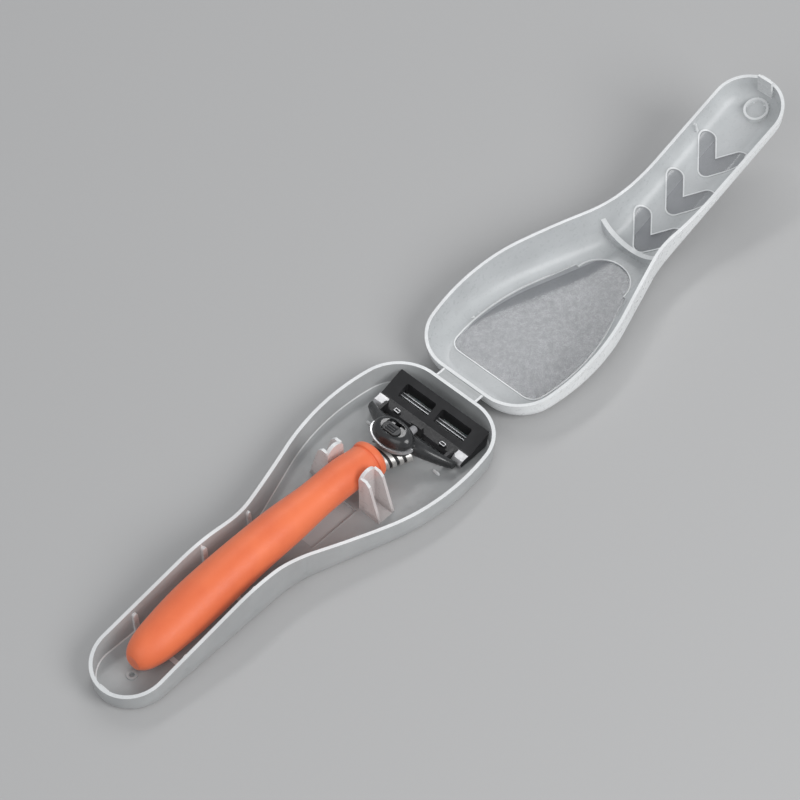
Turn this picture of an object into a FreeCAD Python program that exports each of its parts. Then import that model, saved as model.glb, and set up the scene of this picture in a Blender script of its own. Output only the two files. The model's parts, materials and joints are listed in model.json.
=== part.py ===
import FreeCAD, Part
import math
import os

# Travel case for a razor: a moulded tray and lid on one living hinge, lying open
# with a cartridge razor in the tray. Millimetres and degrees. +X runs from the
# tray's tail to the lid's tail, Y lies across, +Z is up from the table.
# A station is a distance from the hinge end of a shell, and a depth in the
# razor's tables is a distance from the hinge axis towards the tray's tail.

# Case outline, seen from above
case_length = 170.0
head_half_width = 29.85
head_station = 31.0
side_radius = 90.0
corner_radius = 18.0
flank_angle = 19.0
neck_radius = 50.0
tail_half_width = 14.1
grip_flare_angle = 0.7
hinge_half_gap = 1.9

# Side profile
hinge_height = 10.2
rim_rise = 7.2
rim_crest_station = 110.0
rim_climb_radius = 240.0
rim_crest_radius = 57.0
rim_fall_angle = 10.3
rim_gap = 0.2
lid_rise_angle = 8.07
lid_peak_station = 93.0
lid_fall_angle = 12.0
lid_peak_radius = 40.0
lid_rest_gap = 0.2

# Shell walls
tray_wall = 1.3
tray_floor = 1.2
tray_draft = 3.0
tray_foot_radius = 2.4
tray_inner_radius = 0.5
lid_wall = 1.2
lid_draft = 6.0
lid_crown_radius = 8.0
lid_flank_ease = 1.3
cut_overrun = 10.0

# Tray details
wall_rib_stations = (89.0, 111.0, 143.0)
wall_rib_thickness = 1.9
wall_rib_depth = 1.1
wall_rib_drop = 2.0
post_station = 52.9
post_length = 7.6
post_thickness = 1.4
post_height = 18.8
post_crown = 2.6
post_grip_gap = 0.6
gusset_thickness = 1.1
gusset_foot = 8.0
gusset_top = 3.4
gusset_height = 17.4
gusset_corner = 1.6
floor_window_length = 21.5
floor_window_half_width = 7.0
floor_window_gap = 1.0
drain_tail_gap = 13.5
drain_radius = 1.0
drain_ring_radius = 1.9
drain_ring_height = 0.5
catch_half_width = 2.0
catch_reach = 0.8
catch_height = 1.0
catch_drop = 0.5

# Lid details
lid_rib_station = 141.0
lid_rib_thickness = 0.9
lid_rib_length = 3.5
saddle_station = 90.0
saddle_thickness = 2.0
saddle_shoulder = 5.2
saddle_arch_height = 18.6
saddle_arch_half_width = 15.5
chevron_stations = (95.6, 114.2, 133.0)
chevron_arm = 9.3
chevron_half_spread = 7.4
chevron_width = 6.0
chevron_depth = 0.4
panel_start = 13.5
panel_end = 83.0
panel_inset = 8.6
panel_end_radius = 10.6
panel_corner_radius = 5.0
panel_depth = 0.3
bead_width = 0.5
bead_height = 0.25
boss_station = 161.6
boss_radius = 4.7
boss_wall = 0.9
boss_height = 1.6
latch_half_width = 3.2
latch_thickness = 1.0
latch_reach = 3.2
latch_root = 5.0
latch_nub = 0.35
latch_nub_height = 0.4
snap_gap = 0.1

# Hinge web
web_half_width = 9.4
web_thickness = 0.5
web_drop = 0.1
web_seam = 0.03
web_lid_reach = 0.08

# Razor handle, from its collar to its tail
collar_depth = 43.8
handle_length = 113.6
handle_radius = 8.5
handle_arch = 4.9
handle_floor_gap = 0.25
core_radius = 2.8
core_inset = 9.0
collar_groove_share = 0.034
collar_groove_radius = 0.6
collar_groove_lift = 0.1
core_start_share = 0.08
core_end_share = 0.92
# Along the handle, rise of its middle line and girth, as shares of the three sizes
handle_shares = (
    (0.00, 0.28, 0.66),
    (0.007, 0.31, 0.80),
    (0.018, 0.36, 0.845),
    (0.030, 0.42, 0.80),
    (0.045, 0.49, 0.765),
    (0.10, 0.76, 0.775),
    (0.25, 0.90, 0.785),
    (0.36, 0.93, 0.875),
    (0.50, 0.94, 0.93),
    (0.66, 0.70, 0.985),
    (0.76, 0.44, 1.00),
    (0.88, 0.06, 0.91),
    (0.955, -0.12, 0.74),
    (1.00, -0.26, 0.34),
)
tail_rest_share = 0.91

# Ribbed neck and head housing
neck_length = 11.0
neck_back_width = 9.6
neck_back_height = 8.2
neck_back_lift = 6.0
neck_front_width = 16.8
neck_front_height = 8.0
neck_front_lift = 4.5
neck_seat = 0.2
neck_core_radius = 2.0
neck_end_wall = 1.2
ring_count = 3
ring_width = 1.2
ring_depth = 0.7
hub_depth = 33.8
hub_length = 11.6
hub_width = 17.4
hub_height = 8.6
hub_lift = 7.1
hub_waist_share = 0.45
# Height, length and width of the housing's rounded layers
hub_shares = ((0.0, 0.78, 0.80), (hub_waist_share, 1.0, 1.0), (0.82, 0.86, 0.90), (1.0, 0.52, 0.60))
trim_thickness = 0.5
trim_height = 1.3
trim_drop_share = 0.35
nose_radius = 2.5
nose_depth = 27.6
nose_end_wall = 0.6

# Release button, ejector and plunger
button_length = 3.8
button_half_width = 3.6
button_height = 1.5
button_round_share = 0.46
button_pocket = 0.9
button_travel = 1.8
button_gap = 0.2
button_ridge_count = 3
button_ridge_radius = 0.4
ejector_width = 2.0
ejector_thickness = 0.8
ejector_drop = 3.6
spring_wire = 0.4
button_spring_radius = 0.8
button_spring_turns = 3
button_spring_drop = 1.3
plunger_radius = 1.4
plunger_fit = 0.08
plunger_lift = 5.4
plunger_length = 7.6
plunger_cam_gap = 0.3
plunger_spring_radius = 0.95
plunger_spring_turns = 5
plunger_travel = 1.1

# Cartridge, lying blades down on the tray floor
cartridge_half_width = 20.9
cartridge_front = 7.1
cartridge_depth = 15.3
cartridge_corner = 0.9
cartridge_toe_radius = 2.7
cartridge_height = 6.3
cartridge_floor_gap = 0.65
# Section of the frame as shares of its depth and height, from the front foot round
cartridge_shares = (
    (0.01, 0.0),
    (0.0, 0.88),
    (0.02, 1.0),
    (0.69, 0.42),
    (0.93, 0.36),
    (1.0, 0.22),
    (0.97, 0.0),
)
blade_count = 5
blade_pitch = 1.32
blade_first_share = 0.28
blade_thickness = 0.35
blade_lean = 0.5
blade_height = 1.6
blade_half_length = 17.2
blade_lift = 0.1
blade_end_gap = 0.15
blade_slot_height = 2.1
blade_slot_margin = 0.45
rinse_half_bar = 1.4
rinse_outer = 15.4
rinse_front_share = 0.20
rinse_back_share = 0.545
rinse_corner = 0.8
strip_width = 2.6
strip_depth = 1.0
strip_proud = 0.15
strip_half_length = 17.0
guard_half_length = 15.2
lube_share = 0.03
guard_share = 0.78
clip_inner = 16.5
clip_length = 4.3
clip_thickness = 0.3
clip_start_share = 0.735
cam_half_width = 2.4
cam_length = 1.3
cam_height = 4.6
pad_offset = 10.8
pad_length = 1.2
pad_half_width = 1.1
pad_height = 0.8

# Yoke and its pivot
pivot_behind = 2.0
pivot_lift = 2.6
pin_radius = 0.8
pin_fit = 0.06
pin_root = 0.6
ear_thickness = 1.2
ear_radius = 1.8
ear_gap = 0.3
yoke_centre_lift = 5.1
yoke_centre_behind = 6.6
yoke_tip_y = 19.8
yoke_tip_half_length = 1.5
yoke_tip_half_height = 1.4
yoke_half_length = 3.4
yoke_half_height = 3.3
# Across the half span: run back, climb and thickness, as shares of the centre's
yoke_shares = ((1.0, 0.0, 0.0, 0.0), (0.86, 0.22, 0.16, 0.20), (0.62, 0.58, 0.52, 0.5),
               (0.34, 0.87, 0.85, 0.82), (0.0, 1.0, 1.0, 1.0))

# Values that follow from the sizes above
open_angle = 180.0 - lid_rise_angle
floor_top = tray_floor - hinge_height
handle_tail_girth = tail_rest_share * handle_radius


def spot(station, y, height):
    """A point of the closed case from its station, its place across and its height over the hinge."""
    return FreeCAD.Vector(-hinge_half_gap - station, y, hinge_height + height)


def razor_spot(depth, y, height):
    """A point of the razor from its depth behind the hinge axis and its height over the hinge."""
    return FreeCAD.Vector(-depth, y, hinge_height + height)


def turned(angle):
    """Unit direction (along, across) that leans outwards from the long axis by an angle."""
    return math.cos(math.radians(angle)), math.sin(math.radians(angle))


def arc_between(centre, radius, start, end, height):
    """Arc about a plan centre between two angles in degrees, at one height."""
    points = []
    for angle in (start, (start + end) / 2, end):
        along, across = turned(angle)
        points.append(spot(centre[0] + radius * along, centre[1] + radius * across, height))
    return Part.Arc(*points).toShape()


def straight(start, end, height):
    """Straight edge between two plan points at one height."""
    return Part.LineSegment(spot(*start, height), spot(*end, height)).toShape()


def polar(centre, radius, angle):
    """Plan point at an angle round a centre."""
    along, across = turned(angle)
    return centre[0] + radius * along, centre[1] + radius * across


def outline(length, flank, half_tail, flare, inset, height):
    """Closed paddle outline of a shell, drawn in by an inset, at one height."""
    side_centre = (head_station, head_half_width - side_radius)
    reach = side_radius - corner_radius
    corner_y = side_centre[1] + math.sqrt(reach ** 2 - (head_station - corner_radius) ** 2)
    corner_centre = (corner_radius, corner_y)
    corner_turn = math.degrees(math.atan2(corner_y - side_centre[1], corner_radius - head_station))
    tail_centre = (length - half_tail, 0.0)
    flank_start = polar(side_centre, side_radius, 90.0 - flank)
    grip_end = polar(tail_centre, half_tail, 90.0 + flare)
    flank_slope = -math.tan(math.radians(flank))
    grip_slope = math.tan(math.radians(flare))
    rise = grip_end[1] - flank_start[1]
    meet_run = (rise - grip_slope * (grip_end[0] - flank_start[0])) / (flank_slope - grip_slope)
    meet = (flank_start[0] + meet_run, flank_start[1] + flank_slope * meet_run)
    tangent = neck_radius * math.tan(math.radians((flank + flare) / 2))
    back_along, back_across = turned(-flank)
    neck_start = (meet[0] - tangent * back_along, meet[1] - tangent * back_across)
    neck_centre = polar(neck_start, neck_radius, 90.0 - flank)
    corner = corner_radius - inset
    side = side_radius - inset
    neck = neck_radius + inset
    tail = half_tail - inset

    def half(sign):
        def flip(point):
            return point[0], sign * point[1]
        return [
            arc_between(flip(corner_centre), corner, sign * 180.0, sign * corner_turn, height),
            arc_between(flip(side_centre), side, sign * corner_turn, sign * (90.0 - flank), height),
            straight(flip(polar(side_centre, side, 90.0 - flank)),
                     flip(polar(neck_centre, neck, -90.0 - flank)), height),
            arc_between(flip(neck_centre), neck, sign * (-90.0 - flank), sign * (-90.0 + flare), height),
            straight(flip(polar(neck_centre, neck, -90.0 + flare)),
                     flip(polar(tail_centre, tail, 90.0 + flare)), height),
        ]

    hinge_edge = straight((inset, -corner_y), (inset, corner_y), height)
    tail_arc = arc_between(tail_centre, tail, 90.0 + flare, -90.0 - flare, height)
    edges = [hinge_edge] + half(1.0) + [tail_arc] + half(-1.0)
    return Part.Wire(Part.__sortEdges__(edges))


def tray_outline(inset, height):
    """Outline of the tray, which widens upwards with its draft."""
    drawn = inset - height * math.tan(math.radians(tray_draft))
    return outline(case_length, flank_angle, tail_half_width, grip_flare_angle, drawn, height)


def lid_outline(inset, height):
    """Outline of the lid, which narrows upwards and meets the tray along the arched rim."""
    spread = math.tan(math.radians(lid_draft)) + math.tan(math.radians(tray_draft))
    flare = grip_flare_angle - math.degrees(math.atan(math.tan(math.radians(rim_fall_angle)) * spread))
    length = case_length + rim_height(case_length) * spread
    drawn = inset + height * math.tan(math.radians(lid_draft))
    return outline(length, flank_angle - lid_flank_ease, tail_half_width, flare, drawn, height)


def rim_marks():
    """Stations and heights where the rim's flat, climb, crest and fall meet."""
    climb = math.acos(1.0 - rim_rise / (rim_climb_radius + rim_crest_radius))
    fall = math.radians(rim_fall_angle)
    climb_start = rim_crest_station - (rim_climb_radius + rim_crest_radius) * math.sin(climb)
    crest_start = rim_crest_station - rim_crest_radius * math.sin(climb)
    crest_end = rim_crest_station + rim_crest_radius * math.sin(fall)
    crest_base = rim_rise - rim_crest_radius
    return {
        "climb": climb,
        "climb_start": (climb_start, 0.0),
        "climb_mid": (climb_start + rim_climb_radius * math.sin(climb / 2),
                      rim_climb_radius * (1.0 - math.cos(climb / 2))),
        "crest_start": (crest_start, crest_base + rim_crest_radius * math.cos(climb)),
        "crest": (rim_crest_station, rim_rise),
        "crest_end": (crest_end, crest_base + rim_crest_radius * math.cos(fall)),
    }


def parting_height(station):
    """Height of the parting line over the hinge anywhere along the case."""
    marks = rim_marks()
    run = station - marks["climb_start"][0]
    if run <= 0:
        return 0.0
    if station <= marks["crest_start"][0]:
        return rim_climb_radius - math.sqrt(rim_climb_radius ** 2 - run ** 2)
    if station <= marks["crest_end"][0]:
        drop = rim_crest_radius - math.sqrt(rim_crest_radius ** 2 - (station - rim_crest_station) ** 2)
        return rim_rise - drop
    return rim_height(station)


def rim_height(station):
    """Height of the parting line over the hinge on the falling stretch behind its crest."""
    crest_end = rim_marks()["crest_end"]
    return crest_end[1] - (station - crest_end[0]) * math.tan(math.radians(rim_fall_angle))


def side_prism(edges):
    """Block across the whole case with a closed side profile."""
    width = head_half_width + cut_overrun
    face = Part.Face(Part.Wire(Part.__sortEdges__(edges)))
    face.translate(FreeCAD.Vector(0, -width, 0))
    return face.extrude(FreeCAD.Vector(0, 2 * width, 0))


def side_line(start, end):
    """Straight edge of a side profile."""
    return Part.LineSegment(spot(start[0], 0, start[1]), spot(end[0], 0, end[1])).toShape()


def side_arc(start, middle, end):
    """Arc of a side profile through three points."""
    return Part.Arc(*[spot(station, 0, height) for station, height in (start, middle, end)]).toShape()


def below_rim(lift):
    """Everything under the arched parting line, raised by a lift."""
    marks = {name: (mark[0], mark[1] + lift) for name, mark in rim_marks().items() if name != "climb"}
    front = (-hinge_half_gap - cut_overrun, lift)
    far = case_length + cut_overrun
    back = (far, rim_height(far) + lift)
    deep = -hinge_height - cut_overrun
    return side_prism([
        side_line(front, marks["climb_start"]),
        side_arc(marks["climb_start"], marks["climb_mid"], marks["crest_start"]),
        side_arc(marks["crest_start"], marks["crest"], marks["crest_end"]),
        side_line(marks["crest_end"], back),
        side_line(back, (far, deep)),
        side_line((far, deep), (front[0], deep)),
        side_line((front[0], deep), front),
    ])


def lid_crown_height(station):
    """Height of the lid's rising top plane, which lies on the table when the case is open."""
    rise = math.radians(lid_rise_angle)
    return (hinge_height - lid_rest_gap) / math.cos(rise) + (station + hinge_half_gap) * math.tan(rise)


def lid_fall_height(station):
    """Height of the lid's falling top plane behind its peak."""
    drop = (station - lid_peak_station) * math.tan(math.radians(lid_fall_angle))
    return lid_crown_height(lid_peak_station) - drop


def lid_peak_run():
    """Distance from the peak, along each top plane, at which its rounding starts."""
    return lid_peak_radius * math.tan(math.radians((lid_rise_angle + lid_fall_angle) / 2))


def below_crown(inset):
    """Everything under the lid's top, lowered square to it by an inset."""
    run = lid_peak_run()
    rise, fall = math.radians(lid_rise_angle), math.radians(lid_fall_angle)
    peak = (lid_peak_station, lid_crown_height(lid_peak_station))
    start = (peak[0] - run * math.cos(rise), peak[1] - run * math.sin(rise))
    end = (peak[0] + run * math.cos(fall), peak[1] - run * math.sin(fall))
    centre = (start[0] + lid_peak_radius * math.sin(rise), start[1] - lid_peak_radius * math.cos(rise))
    radius = lid_peak_radius - inset

    def on_arc(lean):
        return centre[0] + radius * math.sin(lean), centre[1] + radius * math.cos(lean)

    arc_start, arc_middle, arc_end = on_arc(-rise), on_arc((fall - rise) / 2), on_arc(fall)
    near = -hinge_half_gap - cut_overrun
    far = case_length + cut_overrun
    near_top = (near, lid_crown_height(near) - inset / math.cos(rise))
    far_top = (far, lid_fall_height(far) - inset / math.cos(fall))
    deep = -hinge_height - cut_overrun
    return side_prism([
        side_line(near_top, arc_start),
        side_arc(arc_start, arc_middle, arc_end),
        side_line(arc_end, far_top),
        side_line(far_top, (far, deep)),
        side_line((far, deep), (near, deep)),
        side_line((near, deep), near_top),
    ])


def tray_block(inset, floor, radius):
    """Solid of the tray's outside or inside, with a rounded foot."""
    top = rim_rise + cut_overrun
    block = Part.makeLoft([tray_outline(inset, floor), tray_outline(inset, top)], True, True)
    foot = [edge for edge in block.Edges if edge.BoundBox.ZMax < hinge_height + floor + rim_gap]
    return block.makeFillet(radius, foot)


def lid_block(inset, radius):
    """Solid of the lid's outside or inside in its closed place, with a rounded crown."""
    low = rim_height(case_length) - cut_overrun
    high = lid_crown_height(lid_peak_station) + cut_overrun / 2
    block = Part.makeLoft([lid_outline(inset, low), lid_outline(inset, high)], True, True)
    block = block.common(below_crown(inset))
    crown = []
    for edge in block.Edges:
        faces = block.ancestorsOfType(edge, Part.Face)
        level = math.cos(math.radians(lid_draft + flank_angle))
        upright = [abs(face_lean(face, edge)) < level for face in faces]
        middle = edge.valueAt((edge.FirstParameter + edge.LastParameter) / 2)
        if upright.count(True) == 1 and middle.z > hinge_height:
            crown.append(edge)
    return block.makeFillet(radius, crown)


def face_lean(face, edge):
    """Upward part of a face's normal beside an edge."""
    middle = edge.valueAt((edge.FirstParameter + edge.LastParameter) / 2)
    return face.normalAt(*face.Surface.parameter(middle)).z


def plain_box(low, high):
    """Box between two corner points given in any order."""
    corner = FreeCAD.Vector(min(low.x, high.x), min(low.y, high.y), min(low.z, high.z))
    return Part.makeBox(abs(high.x - low.x), abs(high.y - low.y), abs(high.z - low.z), corner)


def both_sides(shape):
    """A shape and its mirror image across the long axis."""
    return [shape, shape.mirror(FreeCAD.Vector(), FreeCAD.Vector(0, 1, 0))]


def handle_at(depth):
    """Height and radius of the handle where it passes a depth."""
    share = (depth - collar_depth) / handle_length
    for first, second in zip(handle_shares, handle_shares[1:]):
        if first[0] <= share <= second[0]:
            part = (share - first[0]) / (second[0] - first[0])
            rise = first[1] + part * (second[1] - first[1])
            girth = first[2] + part * (second[2] - first[2])
            return handle_rise(rise), girth * handle_radius
    raise ValueError("no handle at that depth")


def handle_rise(rise_share):
    """Height of the handle's middle line over the hinge, with its tail lying on the tray floor."""
    rest_rise = handle_shares[-3][1]
    rest = floor_top + handle_floor_gap + handle_tail_girth
    return rest + (rise_share - rest_rise) * handle_arch


def make_post():
    """One clip post with its two gussets, on the far side of the handle."""
    front = post_station - post_length / 2
    back = post_station + post_length / 2
    widest = max(handle_at(station + hinge_half_gap)[1] for station in (front, back))
    inner = widest + post_grip_gap
    low = floor_top - tray_floor / 2
    shoulder = floor_top + post_height - post_crown
    sides = Part.makePolygon([spot(front, inner, shoulder), spot(front, inner, low),
                              spot(back, inner, low), spot(back, inner, shoulder)])
    crown = Part.Arc(spot(back, inner, shoulder), spot(post_station, inner, floor_top + post_height),
                     spot(front, inner, shoulder))
    plate = Part.Face(Part.Wire(sides.Edges + [crown.toShape()]))
    post = plate.extrude(FreeCAD.Vector(0, post_thickness, 0))
    root = inner + post_thickness / 2
    outer = inner + post_thickness
    top = floor_top + gusset_height
    tip = outer + gusset_top
    corners = [(root, low), (outer + gusset_foot, low), (outer + gusset_foot, floor_top),
               (tip, top - gusset_corner), (tip - gusset_corner, top), (root, top)]
    for station in (front, back - gusset_thickness):
        wire = Part.makePolygon([spot(station, y, height) for y, height in corners + corners[:1]])
        post = post.fuse(Part.Face(wire).extrude(FreeCAD.Vector(-gusset_thickness, 0, 0)))
    return post


def make_wall_ribs(outside):
    """Upright ribs with round tops on both long walls of the tray."""
    ribs = []
    half = wall_rib_thickness / 2
    # Shrinking the hollow by the rib's depth leaves a belt along the wall
    belt = outside.cut(tray_block(tray_wall + wall_rib_depth, floor_top, tray_inner_radius))
    for station in wall_rib_stations:
        top = parting_height(station) - wall_rib_drop - half
        slab = plain_box(spot(station - half, -head_half_width, floor_top),
                         spot(station + half, head_half_width, top))
        round_top = Part.makeCylinder(half, 2 * head_half_width, spot(station, -head_half_width, top),
                                      FreeCAD.Vector(0, 1, 0))
        ribs.append(belt.common(slab.fuse(round_top)))
    return ribs


def make_tray():
    """Tray shell with its wall ribs, clip posts, floor window, drain and catch."""
    outside = tray_block(0.0, -hinge_height, tray_foot_radius)
    inside = tray_block(tray_wall, floor_top, tray_inner_radius)
    shell = outside.cut(inside)
    extras = make_wall_ribs(outside)
    drain_station = case_length - drain_tail_gap
    ring_base = spot(drain_station, 0, floor_top - tray_floor / 2)
    extras.append(Part.makeCylinder(drain_ring_radius, tray_floor / 2 + drain_ring_height, ring_base))
    catch_top = rim_height(case_length) - catch_drop
    extras.append(plain_box(
        spot(case_length - tray_wall - catch_reach, -catch_half_width, catch_top - catch_height),
        spot(case_length - tray_wall / 2, catch_half_width, catch_top)).common(outside))
    shell = shell.fuse(extras).common(below_rim(-rim_gap / 2))
    # The posts stand taller than the rim
    shell = shell.fuse(both_sides(make_post()))
    window_front = post_station + post_length / 2 + floor_window_gap
    window = plain_box(
        spot(window_front, -floor_window_half_width, -hinge_height - cut_overrun),
        spot(window_front + floor_window_length, floor_window_half_width, floor_top + tray_floor / 2))
    drain = Part.makeCylinder(drain_radius, 2 * cut_overrun,
                              spot(drain_station, 0, -hinge_height - cut_overrun))
    return shell.cut([window, drain]).removeSplitter()


def make_lid_rib(outside):
    """Short rib on both long walls of the lid, near its tail."""
    belt = outside.cut(lid_block(lid_wall + wall_rib_depth, lid_crown_radius - lid_wall - wall_rib_depth))
    slab = plain_box(spot(lid_rib_station - lid_rib_thickness / 2, -head_half_width, 0),
                     spot(lid_rib_station + lid_rib_thickness / 2, head_half_width,
                          parting_height(lid_rib_station) + wall_rib_drop + lid_rib_length))
    return belt.common(slab).cut(below_rim(wall_rib_drop))


def make_saddle():
    """Cross rib of the lid, hollowed over the razor's handle."""
    slab = plain_box(spot(saddle_station - saddle_thickness / 2, -head_half_width, saddle_shoulder),
                     spot(saddle_station + saddle_thickness / 2, head_half_width,
                          lid_crown_height(lid_peak_station)))
    sag = saddle_arch_height - saddle_shoulder
    arch_radius = (saddle_arch_half_width ** 2 + sag ** 2) / (2 * sag)
    hollow = Part.makeCylinder(arch_radius, 2 * saddle_thickness,
                               spot(saddle_station + saddle_thickness, 0, saddle_arch_height - arch_radius),
                               FreeCAD.Vector(1, 0, 0))
    return slab.cut(hollow)


def make_chevron(station, margin):
    """Upright prism of one chevron with round ends, its tip towards the head, grown by a margin."""
    half = chevron_width / 2 + margin
    height = lid_crown_height(lid_peak_station)
    length = math.hypot(chevron_arm, chevron_half_spread)
    along, across = half * chevron_arm / length, half * chevron_half_spread / length
    pieces = [Part.makeCylinder(half, height, spot(station, 0, 0))]
    for side in (1.0, -1.0):
        end = (station + chevron_arm, side * chevron_half_spread)
        corners = [(station - across, side * along), (end[0] - across, end[1] + side * along),
                   (end[0] + across, end[1] - side * along), (station + across, -side * along)]
        wire = Part.makePolygon([spot(*corner, 0) for corner in corners + corners[:1]])
        pieces.append(Part.Face(wire).extrude(FreeCAD.Vector(0, 0, height)))
        pieces.append(Part.makeCylinder(half, height, spot(*end, 0)))
    return pieces[0].fuse(pieces[1:]).removeSplitter()


def make_panel(margin):
    """Upright prism of the thin window panel over the razor's head, grown by a margin."""
    height = lid_crown_height(lid_peak_station)
    plate = Part.Face(lid_outline(panel_inset - margin, 0.0)).extrude(FreeCAD.Vector(0, 0, height))
    bend = panel_end - panel_end_radius
    stretch = plain_box(spot(panel_start - margin, -head_half_width, 0),
                        spot(bend, head_half_width, height))
    # The panel ends round towards the handle
    round_end = Part.makeCylinder(panel_end_radius + margin, height, spot(bend, 0, 0))
    panel = plate.common(stretch.fuse(round_end))
    front = spot(panel_start, 0, 0).x
    corners = [edge for edge in panel.Edges
               if edge.BoundBox.ZLength > height / 2 and edge.BoundBox.XMin > front - rim_gap]
    return panel.makeFillet(panel_corner_radius + margin, corners)


def make_latch():
    """Tongue on the lid's tail that drops inside the tray's tail wall, with its nub."""
    rim = rim_height(case_length)
    back = case_length - tray_wall - catch_reach - latch_nub - snap_gap
    tongue = plain_box(spot(back - latch_thickness, -latch_half_width, rim - latch_reach),
                       spot(back, latch_half_width, rim + latch_root))
    nub = plain_box(spot(back - latch_thickness / 2, -catch_half_width, rim - latch_reach),
                    spot(back + latch_nub, catch_half_width, rim - latch_reach + latch_nub_height))
    foot = plain_box(spot(back - latch_thickness, -latch_half_width, rim + latch_root / 2),
                     spot(case_length, latch_half_width, rim + latch_root))
    return tongue.fuse([nub, foot])


def make_lid():
    """Lid shell with its panel, chevrons, saddle, boss and latch, swung open about the hinge."""
    outside = lid_block(0.0, lid_crown_radius)
    inside = lid_block(lid_wall, lid_crown_radius - lid_wall)
    shell = outside.cut(inside)
    # The panel and the chevrons are thinned from the inside, and each has a raised bead round it
    raised = lid_wall + bead_height
    skin = outside.cut(lid_block(raised, lid_crown_radius - raised))
    panel_wall = lid_wall - panel_depth
    shell = shell.cut(lid_block(panel_wall, lid_crown_radius - panel_wall).common(make_panel(0.0)))
    extras = [skin.common(make_panel(bead_width).cut(make_panel(0.0)))]
    chevron_wall = lid_wall - chevron_depth
    thinner = lid_block(chevron_wall, lid_crown_radius - chevron_wall)
    for station in chevron_stations:
        recess = make_chevron(station, 0.0)
        shell = shell.cut(thinner.common(recess))
        extras.append(skin.common(make_chevron(station, bead_width).cut(recess)))
    extras.append(make_saddle().common(outside))
    extras.append(make_lid_rib(outside))
    boss = Part.makeCylinder(boss_radius, lid_crown_height(lid_peak_station), spot(boss_station, 0, 0))
    boss = boss.cut(Part.makeCylinder(boss_radius - boss_wall, lid_crown_height(lid_peak_station),
                                      spot(boss_station, 0, 0)))
    low_ceiling = below_crown(lid_wall + boss_height)
    extras.append(boss.common(outside).cut(low_ceiling))
    shell = shell.fuse(extras).cut(below_rim(rim_gap / 2))
    lid = shell.fuse(make_latch().common(outside)).removeSplitter()
    lid.rotate(FreeCAD.Vector(0, 0, hinge_height), FreeCAD.Vector(0, 1, 0), open_angle)
    return lid


def make_hinge_web():
    """Thin flexing strap between the two shells, flat while the case is open."""
    half = hinge_half_gap - web_seam
    return plain_box(FreeCAD.Vector(-half, -web_half_width, hinge_height - web_drop - web_thickness),
                     FreeCAD.Vector(half + web_lid_reach, web_half_width, hinge_height - web_drop))


def round_section(depth, height, radius):
    """Circle across the razor's long axis."""
    circle = Part.Circle(razor_spot(depth, 0, height), FreeCAD.Vector(1, 0, 0), radius)
    return Part.Wire(circle.toShape())


def make_handle_core():
    """Stiff core that runs from the housing through the neck into the grip."""
    sections = [
        round_section(nose_back() + neck_end_wall, floor_top + neck_front_lift, neck_core_radius),
        round_section(collar_depth, floor_top + neck_back_lift, neck_core_radius),
    ]
    for share, rise, _ in handle_shares:
        if core_start_share < share < core_end_share:
            sections.append(round_section(collar_depth + share * (handle_length - core_inset),
                                          handle_rise(rise), core_radius))
    return Part.makeLoft(sections, True, False)


def make_handle_grip(core):
    """Soft outer handle, swelling towards the tail and lipped at its collar."""
    sections = []
    for share, rise, girth in handle_shares:
        depth = collar_depth + share * handle_length
        sections.append(round_section(depth, handle_rise(rise), girth * handle_radius))
    # A round groove sets the lip off from the rest of the grip
    groove_depth = collar_depth + collar_groove_share * handle_length
    height, radius = handle_at(groove_depth)
    groove = Part.makeTorus(radius + collar_groove_lift, collar_groove_radius,
                            razor_spot(groove_depth, 0, height), FreeCAD.Vector(1, 0, 0))
    return Part.makeLoft(sections, True, False).cut([core, groove])


def neck_form(inset):
    """Form of the neck, flaring towards the head, drawn in by an inset."""
    sections = []
    for depth, lift, width, height in (
            (collar_depth - neck_length, neck_front_lift, neck_front_width, neck_front_height),
            (collar_depth - neck_seat, neck_back_lift, neck_back_width, neck_back_height)):
        centre = floor_top + lift
        ellipse = Part.Ellipse(razor_spot(depth, width / 2 - inset, centre),
                               razor_spot(depth, 0, centre + height / 2 - inset),
                               razor_spot(depth, 0, centre))
        sections.append(Part.Wire(ellipse.toShape()))
    return Part.makeLoft(sections, True, True)


def make_neck(core):
    """Ribbed metal neck and the soft rings let into it."""
    front = collar_depth - neck_length
    pitch = (neck_length - neck_seat) / (ring_count + 1)
    form = neck_form(0.0)
    grooves = form.cut(neck_form(ring_depth))
    linings = neck_form(ring_depth / 2).cut(neck_form(ring_depth))
    sleeve = form.cut(core)
    rings = []
    for number in range(ring_count):
        start = front + (number + 1) * pitch - ring_width / 2
        slab = plain_box(razor_spot(start, -neck_front_width, floor_top),
                         razor_spot(start + ring_width, neck_front_width, floor_top + 2 * neck_back_height))
        sleeve = sleeve.cut(grooves.common(slab))
        rings.append(linings.common(slab))
    return sleeve, Part.makeCompound(rings)


def oval(depth, height, length, width):
    """Level oval about the housing's middle, longer across than along."""
    ellipse = Part.Ellipse(razor_spot(depth, width / 2, height), razor_spot(depth - length / 2, 0, height),
                           razor_spot(depth, 0, height))
    return Part.Wire(ellipse.toShape())


def hub_layer(share, length_share, width_share, grow):
    """One rounded layer of the housing, grown outwards by a margin."""
    return oval(hub_depth, floor_top + hub_lift + share * hub_height,
                length_share * hub_length + 2 * grow, width_share * hub_width + 2 * grow)


def bore_back():
    """Depth of the closed end of the plunger's bore."""
    return plunger_front() + plunger_length + plunger_travel + plunger_spring_radius + spring_room()


def nose_back():
    """Depth at which the nose ends inside the neck."""
    return bore_back() + nose_end_wall


def make_hub_form():
    """Outer form of the head housing with its plunger nose, before it is hollowed."""
    hub = Part.makeLoft([hub_layer(*shares, 0.0) for shares in hub_shares], True, False)
    return hub.fuse(make_nose(0.0))


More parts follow.
